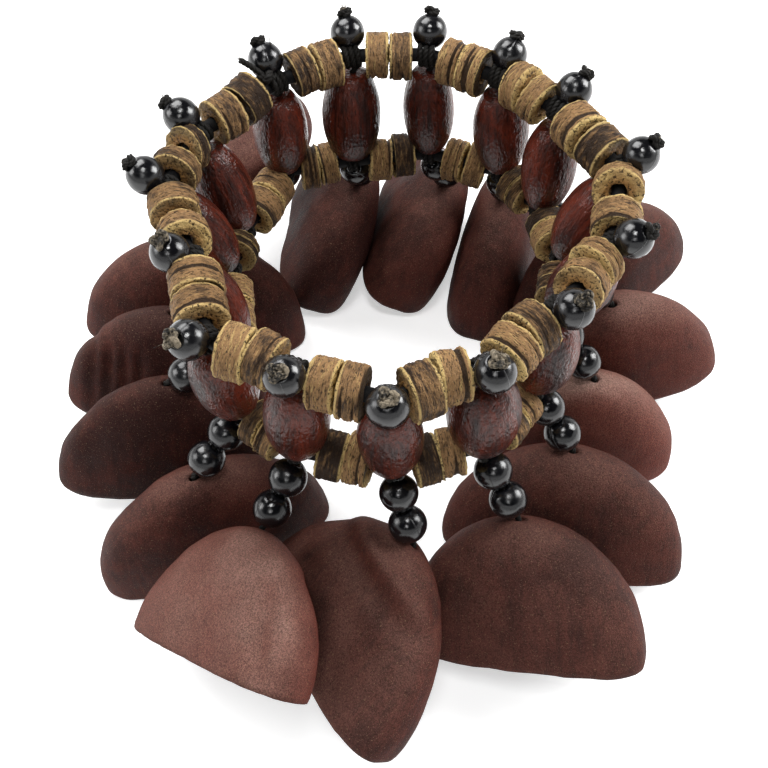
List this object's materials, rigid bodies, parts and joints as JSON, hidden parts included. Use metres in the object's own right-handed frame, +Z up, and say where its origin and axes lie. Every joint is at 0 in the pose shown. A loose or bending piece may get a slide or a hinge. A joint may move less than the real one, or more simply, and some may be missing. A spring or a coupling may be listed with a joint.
{
  "type": "wrist shaker",
  "caption": "Wrist shaker: elastic cuff of coconut discs and dark oval wooden beads, with half nut shells hanging on black beaded cords round its lower edge",
  "frame": {"origin": "on the table, at the middle of the outline seen from above", "axes": "+Z is up, out through the cuff's upper strand; +Y points away from the camera of the picture, to the back of the cuff; +X points to the picture's right"},
  "size_m": [0.1306, 0.1416, 0.0672],
  "materials": {
    "coconut": "dry turned coconut shell, golden brown, with dark growth lines and loose fibres",
    "mahogany": "polished dark red-brown wood with the grain along the bead",
    "black_bead": "glossy moulded black beads on waxed black cord",
    "nut_shell": "smooth matt nut shell, reddish brown, finely speckled"
  },
  "bodies": {
    "cuff": {"upper_strand": "coconut", "lower_strand": "coconut"},
    "chain_01": {"hanging_beads_01": "black_bead"},
    "bell_01": {"nut_shell_01": "nut_shell"},
    "bead_01": {"wooden_bead_01": "mahogany"},
    "chain_02": {"hanging_beads_02": "black_bead"},
    "bell_02": {"nut_shell_02": "nut_shell"},
    "bead_02": {"wooden_bead_02": "mahogany"},
    "chain_03": {"hanging_beads_03": "black_bead"},
    "bell_03": {"nut_shell_03": "nut_shell"},
    "bead_03": {"wooden_bead_03": "mahogany"},
    "chain_04": {"hanging_beads_04": "black_bead"},
    "bell_04": {"nut_shell_04": "nut_shell"},
    "bead_04": {"wooden_bead_04": "mahogany"},
    "chain_05": {"hanging_beads_05": "black_bead"},
    "bell_05": {"nut_shell_05": "nut_shell"},
    "bead_05": {"wooden_bead_05": "mahogany"},
    "chain_06": {"hanging_beads_06": "black_bead"},
    "bell_06": {"nut_shell_06": "nut_shell"},
    "bead_06": {"wooden_bead_06": "mahogany"},
    "chain_07": {"hanging_beads_07": "black_bead"},
    "bell_07": {"nut_shell_07": "nut_shell"},
    "bead_07": {"wooden_bead_07": "mahogany"},
    "chain_08": {"hanging_beads_08": "black_bead"},
    "bell_08": {"nut_shell_08": "nut_shell"},
    "bead_08": {"wooden_bead_08": "mahogany"},
    "chain_09": {"hanging_beads_09": "black_bead"},
    "bell_09": {"nut_shell_09": "nut_shell"},
    "bead_09": {"wooden_bead_09": "mahogany"},
    "chain_10": {"hanging_beads_10": "black_bead"},
    "bell_10": {"nut_shell_10": "nut_shell"},
    "bead_10": {"wooden_bead_10": "mahogany"},
    "chain_11": {"hanging_beads_11": "black_bead"},
    "bell_11": {"nut_shell_11": "nut_shell"},
    "bead_11": {"wooden_bead_11": "mahogany"},
    "chain_12": {"hanging_beads_12": "black_bead"},
    "bell_12": {"nut_shell_12": "nut_shell"},
    "bead_12": {"wooden_bead_12": "mahogany"},
    "chain_13": {"hanging_beads_13": "black_bead"},
    "bell_13": {"nut_shell_13": "nut_shell"},
    "bead_13": {"wooden_bead_13": "mahogany"},
    "chain_14": {"hanging_beads_14": "black_bead"},
    "bell_14": {"nut_shell_14": "nut_shell"},
    "bead_14": {"wooden_bead_14": "mahogany"},
    "chain_15": {"hanging_beads_15": "black_bead"},
    "bell_15": {"nut_shell_15": "nut_shell"},
    "bead_15": {"wooden_bead_15": "mahogany"}
  },
  "joints": [
    {"name": "swing_01", "type": "hinge", "parent": "cuff", "child": "chain_01", "pos_m": [-0.00675, 0.03383, 0.03746], "axis": [0.9918, 0.1282, 0.0022], "range_deg": [-4, 12]},
    {"name": "rock_01", "type": "hinge", "parent": "chain_01", "child": "bell_01", "pos_m": [-0.0051, 0.04338, 0.02641], "axis": [-0.9059, 0.0649, 0.4186], "range_deg": [-10, 10]},
    {"name": "spin_01", "type": "hinge", "parent": "cuff", "child": "bead_01", "pos_m": [-0.00643, 0.03554, 0.04903], "axis": [0.0269, 0.1459, 0.9889], "continuous": true},
    {"name": "swing_02", "type": "hinge", "parent": "cuff", "child": "chain_02", "pos_m": [0.00818, 0.03556, 0.03726], "axis": [0.9909, -0.1344, -0.0053], "range_deg": [-4, 24]},
    {"name": "rock_02", "type": "hinge", "parent": "chain_02", "child": "bell_02", "pos_m": [0.01365, 0.0423, 0.02541], "axis": [-0.897, 0.135, 0.421], "range_deg": [-10, 10]},
    {"name": "spin_02", "type": "hinge", "parent": "cuff", "child": "bead_02", "pos_m": [0.00771, 0.03628, 0.04893], "axis": [-0.0403, 0.062, 0.9973], "continuous": true},
    {"name": "swing_03", "type": "hinge", "parent": "cuff", "child": "chain_03", "pos_m": [0.0216, 0.03012, 0.0373], "axis": [0.7671, -0.6415, 0.0008], "range_deg": [-4, 24]},
    {"name": "rock_03", "type": "hinge", "parent": "chain_03", "child": "bell_03", "pos_m": [0.02436, 0.03844, 0.0255], "axis": [-0.9491, 0.3148, 0], "range_deg": [-10, 10]},
    {"name": "spin_03", "type": "hinge", "parent": "cuff", "child": "bead_03", "pos_m": [0.02053, 0.03037, 0.04895], "axis": [-0.0913, 0.0215, 0.9956], "continuous": true},
    {"name": "swing_04", "type": "hinge", "parent": "cuff", "child": "chain_04", "pos_m": [0.02789, 0.02014, 0.03729], "axis": [0.3472, -0.937, 0.0379], "range_deg": [-3, 24]},
    {"name": "rock_04", "type": "hinge", "parent": "chain_04", "child": "bell_04", "pos_m": [0.0393, 0.02519, 0.02951], "axis": [-0.4539, 0.8898, -0.0472], "range_deg": [-10, 8]},
    {"name": "spin_04", "type": "hinge", "parent": "cuff", "child": "bead_04", "pos_m": [0.02823, 0.0211, 0.04894], "axis": [0.0286, 0.0822, 0.9962], "continuous": true},
    {"name": "swing_05", "type": "hinge", "parent": "cuff", "child": "chain_05", "pos_m": [0.02972, 0.00775, 0.03823], "axis": [-0.0136, -0.9994, 0.0316], "range_deg": [-4, 24]},
    {"name": "rock_05", "type": "hinge", "parent": "chain_05", "child": "bell_05", "pos_m": [0.04071, 0.00571, 0.02869], "axis": [0.0046, 0.9992, 0.0391], "range_deg": [-10, 10]},
    {"name": "spin_05", "type": "hinge", "parent": "cuff", "child": "bead_05", "pos_m": [0.03316, 0.00784, 0.04942], "axis": [0.294, 0.0076, 0.9558], "continuous": true},
    {"name": "swing_06", "type": "hinge", "parent": "cuff", "child": "chain_06", "pos_m": [0.02764, -0.00415, 0.03808], "axis": [-0.25, -0.9676, -0.0349], "range_deg": [-4, 24]},
    {"name": "rock_06", "type": "hinge", "parent": "chain_06", "child": "bell_06", "pos_m": [0.03565, -0.00956, 0.027], "axis": [0.1571, 0.9876, 0], "range_deg": [-10, 10]},
    {"name": "spin_06", "type": "hinge", "parent": "cuff", "child": "bead_06", "pos_m": [0.0302, -0.00602, 0.04934], "axis": [0.2193, -0.1598, 0.9625], "continuous": true},
    {"name": "swing_07", "type": "hinge", "parent": "cuff", "child": "chain_07", "pos_m": [0.02295, -0.01772, 0.03726], "axis": [-0.4958, -0.8679, -0.0298], "range_deg": [-4, 24]},
    {"name": "rock_07", "type": "hinge", "parent": "chain_07", "child": "bell_07", "pos_m": [0.03025, -0.02317, 0.02573], "axis": [0.2567, 0.9073, -0.3329], "range_deg": [-10, 10]},
    {"name": "spin_07", "type": "hinge", "parent": "cuff", "child": "bead_07", "pos_m": [0.02296, -0.01859, 0.04893], "axis": [0.0013, -0.0739, 0.9973], "continuous": true},
    {"name": "swing_08", "type": "hinge", "parent": "cuff", "child": "chain_08", "pos_m": [0.01343, -0.02891, 0.03724], "axis": [-0.8565, -0.5162, -0.0001], "range_deg": [-4, 24]},
    {"name": "rock_08", "type": "hinge", "parent": "chain_08", "child": "bell_08", "pos_m": [0.01966, -0.03558, 0.02571], "axis": [0.344, 0.7328, -0.5871], "range_deg": [-10, 10]},
    {"name": "spin_08", "type": "hinge", "parent": "cuff", "child": "bead_08", "pos_m": [0.01279, -0.02894, 0.04892], "axis": [-0.0551, -0.0025, 0.9985], "continuous": true},
    {"name": "swing_09", "type": "hinge", "parent": "cuff", "child": "chain_09", "pos_m": [-0.00085, -0.03209, 0.03726], "axis": [-1, -0.0054, 0.0004], "range_deg": [-2, 8]},
    {"name": "rock_09", "type": "hinge", "parent": "chain_09", "child": "bell_09", "pos_m": [0.00232, -0.03931, 0.02486], "axis": [0.673, 0.1355, -0.7271], "range_deg": [-10, 4]},
    {"name": "spin_09", "type": "hinge", "parent": "cuff", "child": "bead_09", "pos_m": [-0.00108, -0.03289, 0.04893], "axis": [-0.0198, -0.0691, 0.9974], "continuous": true},
    {"name": "swing_10", "type": "hinge", "parent": "cuff", "child": "chain_10", "pos_m": [-0.01552, -0.02899, 0.03725], "axis": [-0.8998, 0.4364, 0.003], "range_deg": [-4, 24]},
    {"name": "rock_10", "type": "hinge", "parent": "chain_10", "child": "bell_10", "pos_m": [-0.02231, -0.0368, 0.02681], "axis": [0.6279, 0.0616, -0.7758], "range_deg": [-10, 8]},
    {"name": "spin_10", "type": "hinge", "parent": "cuff", "child": "bead_10", "pos_m": [-0.0148, -0.02887, 0.04892], "axis": [0.062, 0.0106, 0.998], "continuous": true},
    {"name": "swing_11", "type": "hinge", "parent": "cuff", "child": "chain_11", "pos_m": [-0.02518, -0.02094, 0.03733], "axis": [-0.4648, 0.8853, 0.0139], "range_deg": [-4, 24]},
    {"name": "rock_11", "type": "hinge", "parent": "chain_11", "child": "bell_11", "pos_m": [-0.0341, -0.02726, 0.0275], "axis": [0.3637, -0.9315, 0], "range_deg": [-10, 8]},
    {"name": "spin_11", "type": "hinge", "parent": "cuff", "child": "bead_11", "pos_m": [-0.02592, -0.02193, 0.04897], "axis": [-0.0631, -0.0851, 0.9944], "continuous": true},
    {"name": "swing_12", "type": "hinge", "parent": "cuff", "child": "chain_12", "pos_m": [-0.02624, -0.00934, 0.03755], "axis": [-0.0984, 0.9945, 0.0346], "range_deg": [-4, 24]},
    {"name": "rock_12", "type": "hinge", "parent": "chain_12", "child": "bell_12", "pos_m": [-0.0395, -0.01092, 0.03142], "axis": [0.1756, -0.983, 0.0538], "range_deg": [-10, 4]},
    {"name": "spin_12", "type": "hinge", "parent": "cuff", "child": "bead_12", "pos_m": [-0.02817, -0.00875, 0.04908], "axis": [-0.1655, 0.0499, 0.9849], "continuous": true},
    {"name": "swing_13", "type": "hinge", "parent": "cuff", "child": "chain_13", "pos_m": [-0.02801, 0.00728, 0.03839], "axis": [0.049, 0.9988, -0.0025], "range_deg": [-2, 24]},
    {"name": "rock_13", "type": "hinge", "parent": "chain_13", "child": "bell_13", "pos_m": [-0.04011, 0.00496, 0.03037], "axis": [-0.021, -0.9911, 0.1312], "range_deg": [-10, 4]},
    {"name": "spin_13", "type": "hinge", "parent": "cuff", "child": "bead_13", "pos_m": [-0.03168, 0.00688, 0.0495], "axis": [-0.3136, -0.0338, 0.949], "continuous": true},
    {"name": "swing_14", "type": "hinge", "parent": "cuff", "child": "chain_14", "pos_m": [-0.02618, 0.0161, 0.03789], "axis": [0.2903, 0.9558, -0.0472], "range_deg": [-4, 24]},
    {"name": "rock_14", "type": "hinge", "parent": "chain_14", "child": "bell_14", "pos_m": [-0.0366, 0.0226, 0.02981], "axis": [0.0503, -0.9947, 0.0898], "range_deg": [-10, 8]},
    {"name": "spin_14", "type": "hinge", "parent": "cuff", "child": "bead_14", "pos_m": [-0.0287, 0.01738, 0.04925], "axis": [-0.2156, 0.1098, 0.9703], "continuous": true},
    {"name": "swing_15", "type": "hinge", "parent": "cuff", "child": "chain_15", "pos_m": [-0.01974, 0.03198, 0.03723], "axis": [0.7879, 0.6157, -0.0123], "range_deg": [-4, 24]},
    {"name": "rock_15", "type": "hinge", "parent": "chain_15", "child": "bell_15", "pos_m": [-0.02163, 0.04392, 0.02886], "axis": [-0.2715, 0.2127, 0.9386], "range_deg": [-10, 10]},
    {"name": "spin_15", "type": "hinge", "parent": "cuff", "child": "bead_15", "pos_m": [-0.0194, 0.03147, 0.04892], "axis": [0.0293, -0.0434, 0.9986], "continuous": true}
  ]
}
